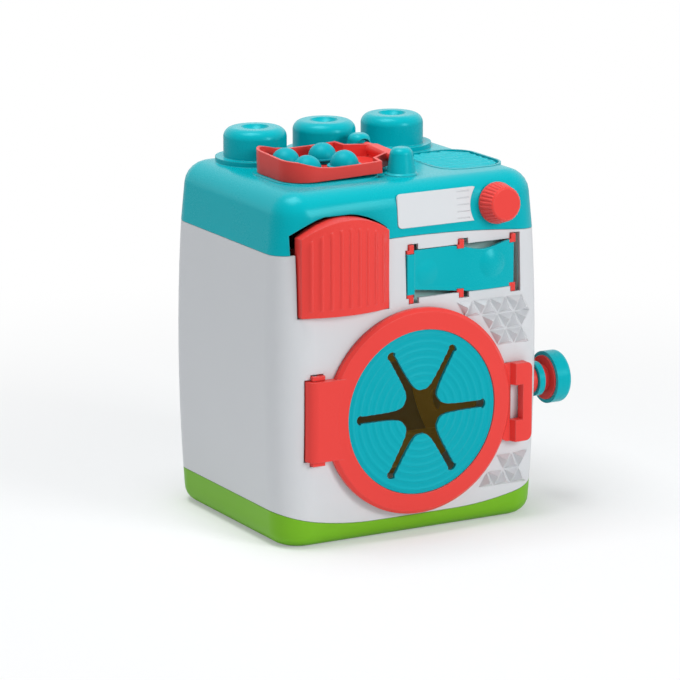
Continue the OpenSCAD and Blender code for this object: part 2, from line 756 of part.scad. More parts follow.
module door_ring() color(red) difference() {
  union() {
    around_door() rotate_extrude($fn = 128) polygon([[membrane_r, 0], [ring_r, 0], [ring_r, 3.2],
      [ring_r - 2.4, 5.4], [membrane_r + 0.2, face_t], [membrane_r, face_t - 0.3]]);
    // hinge barrel and its plate
    translate([hinge_x, hinge_y, hinge_z - barrel_l / 2]) cylinder(r = barrel_r, h = barrel_l);
    translate([hinge_x, hinge_y - barrel_r, hinge_z - barrel_l / 2])
      cube([-hinge_x - rim_r + 6, barrel_r - 1.2, barrel_l]);
    latch_tab();
  }
  around_door() {
    translate([0, 0, -1]) cylinder(r = clamp_r, h = clamp_t + 1);
    translate([0, 0, -1]) cylinder(r = rim_r, h = clamp_t + membrane_t + 0.1 + 1);
    translate([0, 0, -1]) cylinder(r = membrane_r, h = 20);
    for (a = [0:360 / door_screw_n:359]) rotate([0, 0, a + 30])
      translate([clamp_r - 2.4, 0, 0]) cylinder(r = pilot, h = 5);
  }
  translate([hinge_x, hinge_y, 0]) cylinder(r = hinge_pin_r + run_fit, h = 200);
  // slot that shows the body behind it
  translate([hook_x + 2, front_y - 10, latch_z - 12.6]) cube([7.6, 20, 25.2]);
}

// The tab follows the rounded corner of the body
module latch_tab() {
  cx = side_x - corner_r;
  cy = front_y + corner_r;
  r0 = corner_r + 0.6;
  intersection() {
    union() {
      translate([ring_r - 6, cy - r0 - 2.2, latch_z - tab_half]) cube([10, 2.2, 2 * tab_half]);
      translate([0, 0, latch_z - tab_half]) linear_extrude(2 * tab_half) polygon([
        [ring_r - 1, cy - r0], [cx, cy - r0], [cx, cy - r0 - tab_t],
        [ring_r + 2.4, cy - r0 - tab_t], [ring_r + 0.4, cy - r0 - 2.2], [ring_r - 1, cy - r0 - 2.2]]);
      translate([cx, cy, latch_z - tab_half]) difference() {
        cylinder(r = r0 + tab_t, h = 2 * tab_half, $fn = 96);
        translate([0, 0, -1]) cylinder(r = r0, h = 2 * tab_half + 2, $fn = 96);
        translate([-60, -60, -1]) cube([60, 120, 100]);
        translate([-60, 0, -1]) cube([120, 120, 100]);
        rotate([0, 0, -66]) translate([0, 0, -1]) cube([60, 60, 100]);
      }
      // hook into the body
      translate([hook_x - 1.2, front_y - 2.5, hook_z - 3]) cube([2.4, 7.5, 6]);
    }
    translate([(ring_r - 6 + tab_x1) / 2, 0, latch_z]) rotate([90, 0, 0]) linear_extrude(200)
      round_rect(tab_x1 - ring_r + 6, 2 * tab_half, 5);
  }
}

// half width of a star arm at a distance from the centre
function arm_half(a) = 2.6 + 3.1 * exp(-(a - 13) / 2.2) + 2.3 * exp(-(a - 13) / 7);

star_tip = 3.7;
star_core = 15.6;                    // radius of the open middle between the petal tips
module star() {
  circle(r = star_core);
  for (k = [0:5]) rotate([0, 0, 60 * k]) star_arm();
}

module star_arm() {
  polygon(concat([[0, 0]],
    [for (i = [0:10]) let (a = 13 + i * (star_r - star_tip - 13) / 10) [a, -arm_half(a)]],
    [for (i = [10:-1:0]) let (a = 13 + i * (star_r - star_tip - 13) / 10) [a, arm_half(a)]]));
  translate([star_r - star_tip, 0]) circle(r = star_tip);
}

module door_membrane() color(teal) around_door() difference() {
  union() {
    translate([0, 0, clamp_t]) cylinder(r = rim_r - 0.2, h = membrane_t, $fn = 128);
    translate([0, 0, clamp_t]) cylinder(r = membrane_r - 0.25, h = face_t - clamp_t - 0.9, $fn = 128);
  }
  translate([0, 0, clamp_t - 1]) cylinder(r = membrane_r - 4, h = 2.2, $fn = 128);
  translate([0, 0, -1]) linear_extrude(20) star();
}

module membrane_clamp() color(red) around_door() difference() {
  translate([0, 0, 0.15]) cylinder(r = clamp_r - 0.2, h = clamp_t - 0.25, $fn = 128);
  translate([0, 0, -1]) cylinder(r = membrane_r + 0.6, h = 10, $fn = 128);
  for (a = [0:360 / door_screw_n:359]) rotate([0, 0, a + 30]) translate([clamp_r - 2.4, 0, -1])
    cylinder(r = screw_r + 0.05, h = 5);
}

module door_screws() color(steel) around_door()
  for (a = [0:360 / door_screw_n:359]) rotate([0, 0, a + 30])
    translate([clamp_r - 2.4, 0, 0.3]) cylinder(r = screw_r, h = 4.4);

module hinge_pin() color(steel) translate([hinge_x, hinge_y, hinge_z - barrel_l / 2 - ear_h - 0.6])
  cylinder(r = hinge_pin_r, h = barrel_l + 2 * ear_h + 1.2);

module hinge_bracket() color(red) difference() {
  union() {
    translate([ear_x, pocket_y - 2.1, hinge_z - barrel_l / 2 - ear_h - 0.9])
      cube([ear_w, 1.9, barrel_l + 2 * ear_h + 1.8]);
    for (s = [-1, 1]) translate([ear_x, hinge_y - 3.6, hinge_z + s * (barrel_l + ear_h + 0.9) / 2 - ear_h / 2])
      cube([ear_w, pocket_y - 0.2 - hinge_y + 3.6, ear_h]);
  }
  translate([hinge_x, hinge_y, 0]) cylinder(r = hinge_pin_r + 0.02, h = 200);
}

module latch_clip() color(dark) difference() {
  translate([hook_x - 5.5, front_y + wall + clip_gap, hook_z - 7]) cube([11, 5, 14]);
  translate([hook_x - 1.7, front_y + wall - 1, hook_z - 3.4]) cube([3.4, 5, 6.8]);
}

// ---------- tub and drum ----------

module along_x(x) translate([x, drum_y, door_z]) rotate([0, 90, 0]) children();

module tub() color(white) difference() {
  union() {
    along_x(-tub_half) cylinder(r = tub_r, h = 2 * tub_half, $fn = 128);
    for (p = tub_posts) translate([p[0], p[1], wall + 0.2]) cylinder(r = post_r, h = 40);
  }
  along_x(-tub_half + 3) cylinder(r = tub_r - tub_wall, h = 2 * tub_half - 6, $fn = 128);
  translate([0, front_y, door_z]) rotate([-90, 0, 0])
    cylinder(r = throat_r + throat_wall + seat, h = -front_y + drum_y, $fn = 96);
  along_x(-tub_half - 1) cylinder(r = shaft_r + 3, h = 2 * tub_half + 2);
  for (p = tub_posts) translate([p[0], p[1], 0]) cylinder(r = pilot, h = 18);
}

module bush(s) color(dark) along_x(s * (tub_half - 1.5)) mirror([0, 0, s > 0 ? 0 : 1]) difference() {
  union() {
    translate([0, 0, -2.4]) cylinder(r = shaft_r + 2.97, h = 5);
    translate([0, 0, 1.55]) cylinder(r = shaft_r + 6, h = 2);
  }
  translate([0, 0, -5]) cylinder(r = shaft_r + run_fit, h = 20);
}

module side_bush() color(teal) along_x(side_x) difference() {
  union() {
    translate([0, 0, -4]) cylinder(r = shaft_r + 3.9, h = 6);
    translate([0, 0, 0.05]) cylinder(r = 13, h = 1.9);
  }
  translate([0, 0, -6]) cylinder(r = shaft_r + run_fit, h = 20);
}

module drum_end(s) color(amber) along_x(s * (drum_half - 3)) mirror([0, 0, s > 0 ? 0 : 1]) difference() {
  union() {
    cylinder(r = drum_r, h = 3, $fn = 96);
    translate([0, 0, -8]) cylinder(r = shaft_r + 5, h = 11);
    if (s < 0) cylinder(r = shaft_r, h = 12);
  }
  for (a = [0:45:359]) rotate([0, 0, a]) translate([drum_r * 0.6, 0, -1]) cylinder(r = 8, h = 6);
  if (s > 0) translate([0, 0, -7]) cylinder(r = shaft_r, h = 20);
}

module drum_vane(i) color(amber) along_x(-drum_half + 3) rotate([0, 0, 120 * i + 100]) {
  h = 2 * drum_half - 6;
  rotate([0, 0, -15]) rotate_extrude(angle = 30, $fn = 96)
    translate([drum_r - 2.6, 0.02]) square([2.5, h - 0.04]);
  translate([drum_r * 0.62, -1.5, 0.02]) cube([drum_r * 0.36 - 0.4, 3, h - 0.04]);
  translate([drum_r * 0.62, 0, 0.02]) cylinder(r = 2.6, h = h - 0.04);
}

// ---------- crank ----------

arm_x = side_x + 2.2;
handle_y = drum_y - crank_l;
module at_handle(x) translate([x, handle_y, door_z]) rotate([0, 90, 0]) children();

shaft_x0 = drum_half - 9.9;
shaft_x1 = arm_x + crank_t - 2.6;
module crank_shaft() color(steel) difference() {
  along_x(shaft_x0) cylinder(r = shaft_r, h = shaft_x1 - shaft_x0);
  along_x(shaft_x1 - 9) cylinder(r = screw_r, h = 12);
}

module crank_arm() color(red) difference() {
  union() {
    along_x(arm_x) cylinder(r = 13, h = crank_t);
    at_handle(arm_x) cylinder(r = 10, h = crank_t);
    translate([arm_x, 0, door_z]) rotate([90, 0, 90]) linear_extrude(crank_t - 1)
      polygon([[handle_y, -9.6], [drum_y, -12], [drum_y, 12], [handle_y, 9.6]]);
  }
  along_x(arm_x - 1) cylinder(r = shaft_r, h = crank_t - 1.5);
  along_x(arm_x - 1) cylinder(r = screw_r + 0.1, h = 20);
  along_x(arm_x + crank_t - 1.6) cylinder(r = 7, h = 3);
  at_handle(arm_x - 1) cylinder(r = handle_pin_r, h = 20);
}

module crank_screw() color(steel) along_x(arm_x + crank_t - 1.6 + 0.05) {
  translate([0, 0, -9]) cylinder(r = screw_r, h = 9.5);
  cylinder(r = head_r, h = 0.9);
}

module crank_cap() color(white) along_x(arm_x + crank_t - 0.5) cylinder(r = 6.9, h = 1.6);

core_x0 = arm_x + crank_t + 0.4;
wheel_x0 = side_x + 19.4;
wheel_x1 = wheel_x0 + wheel_w;

module handle_pin() color(steel) {
  at_handle(arm_x) cylinder(r = handle_pin_r, h = wheel_x1 - arm_x - 2.6);
}

module handle_collar() color(teal) at_handle(core_x0) difference() {
  cylinder(r = 12.3, h = 4.6);
  translate([0, 0, -1]) cylinder(r = 6.02, h = 7);
}

module handle_core() color(red) at_handle(core_x0) difference() {
  union() {
    cylinder(r = 6, h = wheel_x0 - core_x0);
    translate([0, 0, 4.7]) cylinder(r = 9, h = wheel_x0 - core_x0 - 4.7);
    translate([0, 0, wheel_x0 - core_x0 - 1.2]) cylinder(r = 15.7, h = 3.2);
  }
  translate([0, 0, -1]) cylinder(r = handle_pin_r + run_fit, h = 40);
}

module handle_wheel() color(teal) difference() {
  at_handle(wheel_x0) rotate_extrude() union() {
    square([wheel_r, wheel_w - 3.5]);
    square([wheel_r - 3.5, wheel_w]);
    translate([wheel_r - 3.5, wheel_w - 3.5]) circle(r = 3.5);
  }
  at_handle(wheel_x0 - 1) cylinder(r = 15.75, h = 3.05);
  at_handle(wheel_x0 - 1) cylinder(r = handle_pin_r + run_fit, h = wheel_w - 1.2);
}

// ---------- rocking tray ----------

tray_z = lid_top + 3.6;          // underside of the tray floor at the axle
tray_t = 2;
neck_x = rocker_x - 17;
tray_x0 = neck_x - tray_l;
tail_x = rocker_x + 4;
tail_w = 22;
step_w = 44;                     // width of the neck where it meets the wide part

module tray_outline(inset) {
  r = 20 - inset;
  intersection() {
    translate([(tray_x0 + neck_x) / 2 + 20, 0])
      round_rect(neck_x - tray_x0 + 40 - 2 * inset, tray_w - 2 * inset, r);
    translate([tray_x0, -tray_w]) square([neck_x - tray_x0 - inset, 2 * tray_w]);
  }
  lean = 0.6 * inset;
  polygon([[neck_x - inset - 1, -tray_w / 2 + inset], [neck_x - inset, -tray_w / 2 + inset],
    [neck_x + 1.5 - inset, -step_w / 2 + lean], [tail_x - inset, -tail_w / 2 + lean],
    [tail_x - inset, tail_w / 2 - lean], [neck_x + 1.5 - inset, step_w / 2 - lean],
    [neck_x - inset, tray_w / 2 - inset], [neck_x - inset - 1, tray_w / 2 - inset]]);
}

// turned to the tray's place at rest
module tilted() translate([rocker_x, tray_y, rocker_z]) rotate([0, -tray_tilt, 0])
  translate([-rocker_x, 0, -rocker_z]) children();

tray_low = 9.4;                  // wall height at the neck
tray_high = 15.8;                // wall height at the far end
rim_lean = 2.5;                  // the rim falls towards the front, in degrees

module rocker_tray() color(red) tilted() difference() {
  intersection() {
    union() {
      difference() {
        translate([0, 0, tray_z]) linear_extrude(30) tray_outline(0);
        translate([0, 0, tray_z + tray_t]) linear_extrude(40) tray_outline(2);
      }
      // tube for the axle
      translate([rocker_x, 0, rocker_z]) rotate([90, 0, 0]) cylinder(r = 4, h = post_gap - 2 * post_tip - 5, center = true);
      translate([rocker_x - 3, -tail_w / 2, tray_z]) cube([6, tail_w, rocker_z - tray_z]);
    }
    // upper edge: high at the far end, low at the neck
    translate([0, 0, tray_z]) rotate([90 + rim_lean, 0, 0]) linear_extrude(200, center = true) polygon([
      [tray_x0 - 5, -10], [tail_x + 5, -10], [tail_x + 5, tray_low + 0.8], [tray_x0 + 48, tray_low],
      [tray_x0 + 34, tray_low + 0.2], [tray_x0 + 22, tray_low + 1.6],
      [tray_x0 + 8, tray_high - 0.8], [tray_x0 - 5, tray_high]]);
  }
  translate([rocker_x, 0, rocker_z]) rotate([90, 0, 0]) cylinder(r = axle_r, h = 200, center = true);
}

module rocker_axle() color(steel) translate([rocker_x, tray_y, rocker_z]) rotate([90, 0, 0])
  cylinder(r = axle_r, h = post_gap + 6, center = true);

bubble_h = 3.4;                  // height of a dome's foot
bubble_at = [for (i = [0, 1], j = [-1, 1]) [neck_x - 20 - 29 * i, j * 15.5]];
module bubble(i) color(teal) tilted()
  translate([bubble_at[i][0], bubble_at[i][1], tray_z + tray_t + 0.05]) rotate_extrude() {
    square([bubble_r - 0.6, bubble_h]);
    translate([0, bubble_h - 1]) square([bubble_r + 1.8, 1]);
    translate([0, bubble_h]) intersection() {
      circle(r = bubble_r);
      square([bubble_r, bubble_r]);
    }
  }

base_tray();
base_screws();
body_shell();
lid_cover();
lid_screws();
label_plate();
inner_deck();
knob();
knob_spring();
knob_screw();
drawer_front();
drawer_box();
runner(-1);  // runner_left
runner(1);  // runner_right
wave_panel();
wave_bar(0);  // wave_bar_1
wave_bar(1);  // wave_bar_2
wave_bar(2);  // wave_bar_3
wave_housing();
door_ring();
door_membrane();
membrane_clamp();
door_screws();
hinge_pin();
hinge_bracket();
latch_clip();
tub();
bush(-1);  // bush_left
bush(1);  // bush_right
side_bush();
drum_end(-1);  // drum_end_left
drum_end(1);  // drum_end_right
drum_vane(0);  // drum_vane_1
drum_vane(1);  // drum_vane_2
drum_vane(2);  // drum_vane_3
crank_shaft();
crank_arm();
crank_screw();
crank_cap();
handle_pin();
handle_collar();
handle_core();
handle_wheel();
rocker_tray();
rocker_axle();
bubble(0);  // bubble_1
bubble(1);  // bubble_2
bubble(2);  // bubble_3
bubble(3);  // bubble_4
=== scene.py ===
# %% [markdown]
# # A toy washing machine in moulded plastic
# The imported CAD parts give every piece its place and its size. This lesson gives
# them their looks: first the camera and the light, then the finishes, then the
# pieces whose surface a plain solid can't show, such as the rippled membrane, the
# beaded drawer face and the waved panel, and last the floor.

import json
import math

import bpy
from mathutils import Matrix, Vector


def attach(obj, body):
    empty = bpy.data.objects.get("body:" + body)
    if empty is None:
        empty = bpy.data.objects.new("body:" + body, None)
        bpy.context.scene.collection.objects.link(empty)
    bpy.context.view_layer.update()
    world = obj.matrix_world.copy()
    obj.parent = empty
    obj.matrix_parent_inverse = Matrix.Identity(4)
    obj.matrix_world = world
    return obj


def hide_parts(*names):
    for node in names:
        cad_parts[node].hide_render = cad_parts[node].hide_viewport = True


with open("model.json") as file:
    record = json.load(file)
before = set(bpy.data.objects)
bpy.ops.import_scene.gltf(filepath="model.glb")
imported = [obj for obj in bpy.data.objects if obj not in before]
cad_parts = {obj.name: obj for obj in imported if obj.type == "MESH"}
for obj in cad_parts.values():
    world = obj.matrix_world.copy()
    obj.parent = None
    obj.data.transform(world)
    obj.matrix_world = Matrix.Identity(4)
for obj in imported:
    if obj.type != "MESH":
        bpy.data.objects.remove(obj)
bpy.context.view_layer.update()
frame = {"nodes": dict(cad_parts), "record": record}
parts = frame["nodes"]
mm = 0.001

# %% [markdown]
# ## Camera
# The toy was seen from its front left, a little from above, with a long lens that
# hardly narrows its far side. The place was worked out from the edges of the toy,
# so here it is only written down. A Track To constraint could aim the camera, but
# a rotation worked out once leaves nothing live in the scene.

# %% Place the camera
eye, aim = (-1.34717, -2.38804, 0.78328), (-0.01254, 0, 0.12144)


def turn_to(thing, target):
    gaze = Vector(target) - thing.location
    thing.rotation_euler = gaze.to_track_quat("-Z", "Y").to_euler()


camera_data = bpy.data.cameras.new("photo_camera")
camera_data.lens = 212.6
camera_data.sensor_width = 36
camera_data.clip_start = 0.1
camera = bpy.data.objects.new("photo_camera", camera_data)
bpy.context.scene.collection.objects.link(camera)
camera.location = eye
turn_to(camera, aim)
bpy.context.scene.camera = camera
print("camera", round(camera.location.length, 2), "m from the toy")

# %% [markdown]
# ## Sums on sockets
# A finish is a tree of nodes, and so is the light of the room. Wiring each Math node
# by hand hides the sum that it stands for, so a small class wraps a socket and takes
# plus, minus, times and or, from either side. One method adds any other node: its
# settings go first, because they decide which sockets it has, and then its values or
# its wires.

# %% A socket that can be summed, and a tree that adds nodes
class Wire:
    def __init__(self, owner, socket):
        self.owner, self.socket = owner, socket

    def sum(self, operation, left, right):
        return self.owner.node("ShaderNodeMath", {"operation": operation}, {0: left, 1: right})

    def __add__(self, other): return self.sum("ADD", self, other)
    def __radd__(self, other): return self.sum("ADD", other, self)
    def __sub__(self, other): return self.sum("SUBTRACT", self, other)
    def __rsub__(self, other): return self.sum("SUBTRACT", other, self)
    def __mul__(self, other): return self.sum("MULTIPLY", self, other)
    def __rmul__(self, other): return self.sum("MULTIPLY", other, self)
    def __or__(self, other): return self.sum("MAXIMUM", self, other)
    def __ror__(self, other): return self.sum("MAXIMUM", other, self)


class Tree:
    def __init__(self, tree):
        self.tree = tree

    def node(self, kind, settings=None, values=None, out=0):
        made = self.tree.nodes.new(kind)
        for key, value in (settings or {}).items():
            setattr(made, key, value)
        for key, value in (values or {}).items():
            self.put(made.inputs[key], value)
        return Wire(self, made.outputs[out])

    def put(self, socket, value):
        if isinstance(value, Wire):
            self.tree.links.new(value.socket, socket)
        else:
            socket.default_value = value


# %% [markdown]
# ## Light
# A studio for small toys has broad soft lamps, here one in front and one above. They
# are area lights, because their size makes the shadow's edge soft. One lamp alone
# would leave either the front or the lid in shade.

# %% Hang the lamps
lamp_side = 0.8


def soft_lamp(name, place, target, watts):
    data = bpy.data.lights.new(name, "AREA")
    data.shape = "SQUARE"
    data.size = lamp_side
    data.energy = watts
    lamp = bpy.data.objects.new(name, data)
    bpy.context.scene.collection.objects.link(lamp)
    lamp.location = place
    turn_to(lamp, target)


soft_lamp("front_lamp", (0.8, -2.0, 1.0), (0, 0, 0.12), 23)
soft_lamp("top_lamp", (-0.3, 0.0, 1.6), (0, 0, 0.2), 17)

# %% [markdown]
# The pale walls of the studio fill the shadows. They are the world's even grey. Only
# the camera, gloss and glass see a white world, so the background is white and the
# toy isn't burnt out.

# %% Light the room
wall_grey, wall_light = (0.93, 0.97, 1.0, 1), 0.33
room = bpy.data.worlds.new("room")
bpy.context.scene.world = room
room.use_nodes = True
room.node_tree.nodes.clear()
air = Tree(room.node_tree)
camera_ray, gloss_ray, glass_ray = [
    air.node("ShaderNodeLightPath", out=kind)
    for kind in ("Is Camera Ray", "Is Glossy Ray", "Is Transmission Ray")]
fill = air.node("ShaderNodeBackground", {}, {"Color": wall_grey, "Strength": wall_light})
white = air.node("ShaderNodeBackground", {}, {"Color": (1, 1, 1, 1), "Strength": 1})
around = air.node("ShaderNodeMixShader", {}, {
    0: camera_ray | gloss_ray | glass_ray, 1: fill, 2: white})
air.put(air.tree.nodes.new("ShaderNodeOutputWorld").inputs["Surface"], around)
bpy.context.scene.view_settings.view_transform = "Standard"
print("room lit with", len(air.tree.nodes), "nodes")

# %% [markdown]
# ## Finishes
# A finish is a material whose tree takes sums. It adds three short words for what
# every finish here needs: a place on the piece, noise at that place, and a blend of
# two colours. The place is in Object coordinates, so a pattern keeps its scale in
# metres on every piece and doesn't stretch as a generated one would.

# %% A material that takes sums
class Finish(Tree):
    def __init__(self, name):
        self.material = bpy.data.materials.new(name)
        self.material.use_nodes = True
        super().__init__(self.material.node_tree)
        self.skin = self.tree.nodes["Principled BSDF"]

    def place(self):
        return self.node("ShaderNodeTexCoord", out="Object")

    def noise(self, place, scale, detail):
        return self.node("ShaderNodeTexNoise", {}, {
            "Vector": place, "Scale": scale, "Detail": detail})

    def blend(self, first, second, share):
        return self.node("ShaderNodeMix", {"data_type": "RGBA"}, {
            0: share, 6: first, 7: second}, out=2)

    def coat(self, values):
        for key, value in values.items():
            self.put(self.skin.inputs[key], value)


finishes = {}

# %% [markdown]
# ## Moulded plastic
# A toy shell comes out of a polished steel mould. It is not quite even: the colour
# drifts a little where the plastic flowed, and a fine grain from the mould breaks up
# the gloss. Each edge is slightly rounded and catches the light, so a painted highlight
# makes the colour paler along it. The edge comes from a Bevel node, which compares the
# rounded normal with the flat one. Real rounding of every edge would need a new mesh for each of
# the parts.
#
# A noise scale counts its swells in a metre. So the colour drifts over some 8 cm, the
# surface swells over 1 cm, and the grain is finer than a millimetre.

# %% A recipe for moulded plastic
drift_scale, swell_scale, grit_scale = 13, 90, 1500
drift_share, grit_share, swell_height = 0.55, 0.12, 1.5
drift_rough, grit_rough, edge_polish = 0.08, 0.06, 0.08
# how sharply the edges are found, and how far the painted edge highlight lifts the colour
# towards white
edge_gain, edge_highlight_lift = 4, 0.35


def moulded(name, colour, deep, gloss, grain=0.00003, rounding=0.0007, edge_highlight=0.25,
            tint=(1, 1, 1, 1), glow=0):
    finish = Finish(name)
    here = finish.place()
    drift = finish.noise(here, drift_scale, 2)
    grit = finish.noise(here, grit_scale, 2)
    swell = finish.noise(here, swell_scale, 1)
    rounded = finish.node("ShaderNodeBevel", {"samples": 4}, {"Radius": rounding})
    flat = finish.node("ShaderNodeNewGeometry", out="Normal")
    same = finish.node("ShaderNodeVectorMath", {"operation": "DOT_PRODUCT"}, {
        0: rounded, 1: flat}, out="Value")
    edge = finish.node("ShaderNodeClamp", {}, {"Value": (1 - same) * edge_gain})
    body = finish.blend(colour, deep, drift * drift_share + grit * grit_share)
    # painted highlight: the colour that the edges are lightened towards
    lit = [share + (1 - share) * edge_highlight_lift for share in colour[:3]] + [1]
    rough = gloss + drift * drift_rough + grit * grit_rough - edge * edge_polish
    bump = finish.node("ShaderNodeBump", {}, {
        "Strength": 0.5, "Distance": grain, "Height": grit + swell * swell_height,
        "Normal": rounded})
    # the base colour carries the painted edge highlight
    finish.coat({
        "Base Color": finish.blend(body, lit, edge * edge_highlight), "Roughness": rough,
        "Normal": bump, "IOR": 1.46, "Specular IOR Level": 0.3, "Specular Tint": tint})
    if glow:
        # painted light: the drum glows faintly, less where the drift darkens it
        glow_colour = finish.blend(colour, (0, 0, 0, 1), drift * 0.9)
        finish.coat({"Emission Color": glow_colour, "Emission Strength": glow})
    finishes[name] = finish.material


# %% [markdown]
# Each colour has a deeper one beside it, which the drift brings out. The tints keep
# the gloss on strong colours from turning grey. The drum is see-through amber on the
# real toy, with light behind it. A faint glow, painted light in the drum itself, stands
# for that light, which would take many samples to trace through a closed tub.

# %% Mix the colours
teal_tint = (0.3, 0.95, 1, 1)
moulded("body_white", (0.68, 0.69, 0.71, 1), (0.645, 0.655, 0.675, 1), 0.28)
moulded("lid_teal", (0.0, 0.425, 0.485, 1), (0.0, 0.40, 0.465, 1), 0.2, tint=teal_tint)
moulded("shell_red", (0.82, 0.058, 0.048, 1), (0.78, 0.05, 0.042, 1), 0.22,
        edge_highlight=0.35, tint=(1, 0.7, 0.7, 1))
moulded("base_green", (0.19, 0.48, 0.018, 1), (0.16, 0.44, 0.014, 1), 0.33,
        tint=(0.8, 1, 0.5, 1))
moulded("membrane_teal", (0.0, 0.385, 0.455, 1), (0.0, 0.36, 0.435, 1), 0.36,
        grain=0.00005, rounding=0.0005, tint=teal_tint)
moulded("plate_white", (0.70, 0.72, 0.74, 1), (0.67, 0.69, 0.71, 1), 0.24, rounding=0.0004)
moulded("drum_amber", (0.62, 0.43, 0.09, 1), (0.50, 0.36, 0.08, 1), 0.36, glow=0.09)
moulded("housing_mint", (0.55, 0.82, 0.79, 1), (0.38, 0.66, 0.64, 1), 0.36)
moulded("bush_dark", (0.03, 0.03, 0.035, 1), (0.022, 0.022, 0.026, 1), 0.5)
print("moulded finishes", sorted(finishes))

# %% [markdown]
# ## Turned steel
# The screws, pins and the shaft are bright steel wire. Drawn wire has fine lines
# along its length, so the noise is stretched, and it moves both the roughness and
# a very small bump.

# %% Make the steel
bright_steel, dull_steel = (0.62, 0.62, 0.64, 1), (0.46, 0.46, 0.48, 1)
wire_stretch = (60, 900, 900)
steel = Finish("screw_steel")
stretched = steel.node("ShaderNodeMapping", {}, {
    "Vector": steel.place(), "Scale": wire_stretch})
lines = steel.noise(stretched, 3, 3)
steel.coat({
    "Base Color": steel.blend(bright_steel, dull_steel, lines),
    "Metallic": 1.0, "Roughness": 0.22 + lines * 0.18,
    "Normal": steel.node("ShaderNodeBump", {}, {
        "Strength": 0.3, "Distance": 0.00002, "Height": lines})})
finishes["screw_steel"] = steel.material
print("steel with", len(steel.tree.nodes), "nodes")

# %% [markdown]
# Each CAD node names the slot that its finish goes into, so the finishes are laid on
# all the nodes in one go.

# %% Lay the finishes on the CAD nodes
slot_of = {row["node"]: row["material_slot"] for row in frame["record"]["subparts"]}
for name, part in parts.items():
    part.data.materials.clear()
    part.data.materials.append(finishes[slot_of[name]])
print("finishes laid on", len(slot_of), "nodes")

# %% [markdown]
# ## Helpers for modelling
# An operator acts on all that is selected, so each step first selects one piece.
# Faces are then picked in code by where they lie, as a hand would click them.

# %% Select and pick
def only(piece):
    bpy.ops.object.select_all(action="DESELECT")
    piece.select_set(True)
    bpy.context.view_layer.objects.active = piece


def pick(piece, test):
    bpy.ops.object.mode_set(mode="EDIT")
    bpy.ops.mesh.select_mode(type="FACE")
    bpy.ops.mesh.select_all(action="DESELECT")
    bpy.ops.object.mode_set(mode="OBJECT")
    picked = 0
    for face in piece.data.polygons:
        face.select = bool(test(face))
        picked += face.select
    bpy.ops.object.mode_set(mode="EDIT")
    return picked


# %% [markdown]
# Four steps come up again and again: what is selected is extruded, the faces of a
# piece are turned outward, its modifiers are applied, and a tool is cut out of it.

# %% Extrude, turn outward, apply and cut
def extrude(rise):
    bpy.ops.mesh.extrude_region_move(TRANSFORM_OT_translate={"value": (0, 0, rise)})


def face_outward(piece):
    only(piece)
    bpy.ops.object.mode_set(mode="EDIT")
    bpy.ops.mesh.select_all(action="SELECT")
    bpy.ops.mesh.normals_make_consistent(inside=False)
    bpy.ops.object.mode_set(mode="OBJECT")


def apply_all(piece):
    only(piece)
    for modifier in list(piece.modifiers):
        bpy.ops.object.modifier_apply(modifier=modifier.name)


def cut_away(piece, tool):
    cut = piece.modifiers.new("cut", "BOOLEAN")
    cut.operation = "DIFFERENCE"
    cut.solver = "EXACT"
    cut.object = tool
    apply_all(piece)
    bpy.data.objects.remove(tool)


# %% [markdown]
# A finished piece keeps its place in its mesh, takes its finish, rides on a body and
# stands for a CAD node. The angle says which edges stay sharp in the shading.

# %% Hand a piece over
def hand_over(piece, name, body, slot, stands_for, smooth):
    only(piece)
    bpy.ops.object.transform_apply(location=True, rotation=True, scale=True)
    bpy.ops.object.shade_smooth_by_angle(angle=math.radians(smooth))
    piece.name = piece.data.name = name
    piece.data.materials.clear()
    piece.data.materials.append(finishes[slot])
    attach(piece, body)
    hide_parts(*stands_for)
    print(name, len(piece.data.polygons), "faces")


# %% [markdown]
# ## Smooth shells
# The white body, the lid and the green base have barrel walls that the CAD
# model gives as narrow bands. They could be modelled anew, but their shape is
# right, and only their shading shows the bands. So each shell is a merged copy,
# smoothed across small angles, with normals weighted by the larger faces so that
# the flat places stay flat.

# %% Copy and smooth the three shells
touching = 0.000002


def smooth_copy(node, name, body):
    piece = parts[node].copy()
    piece.data = parts[node].data.copy()
    bpy.context.scene.collection.objects.link(piece)
    for key in list(piece.keys()):
        del piece[key]
    piece.parent = None
    only(piece)
    bpy.ops.mesh.customdata_custom_splitnormals_clear()
    bpy.ops.object.mode_set(mode="EDIT")
    bpy.ops.mesh.select_all(action="SELECT")
    bpy.ops.mesh.remove_doubles(threshold=touching)
    bpy.ops.object.mode_set(mode="OBJECT")
    hand_over(piece, name, body, slot_of[node], [node], smooth=22)
    weigh = piece.modifiers.new("weigh", "WEIGHTED_NORMAL")
    weigh.keep_sharp = True
    apply_all(piece)
    return piece


smooth_copy("body_shell", "body_skin", "housing")
lid_skin = smooth_copy("lid_cover", "lid_skin", "housing")
smooth_copy("base_tray", "base_skin", "housing")

# %% [markdown]
# Inside the lid, four ribs join the screw posts to its side walls. Their tips reach
# a few tenths of a millimetre through the sloping wall and would show as specks. On
# the middle stretch of a side the wall is one plane, so each point that stands past
# the plane is set back onto it.

# %% Set the rib tips back onto the wall
seam_x, seam_z, slope = 0.103108, 0.204, math.tan(math.radians(5.5))
plane_top, plane_half, slack = 0.225, 0.055, 0.00001
moved = 0
for vertex in lid_skin.data.vertices:
    x, y, z = vertex.co
    wall_x = seam_x - (z - seam_z) * slope
    on_plane = abs(y) < plane_half and seam_z < z < plane_top
    if on_plane and abs(x) > wall_x + slack:
        vertex.co.x = math.copysign(wall_x, x)
        moved += 1
print(moved, "points set back onto the lid's sides")

# %% [markdown]
# ## The membrane of the door
# The door is closed by a soft round membrane with a star slit. Its petals carry
# thin raised rings, close together like ripples, which give small fingers grip.
# They could be painted on with a wave texture, but real rings catch the light at
# their edges and show in profile in the slit. So a disc is inset again and again,
# and each new face is lifted or lowered a little. It lies on its back while it is
# made, and is turned upright at the end.

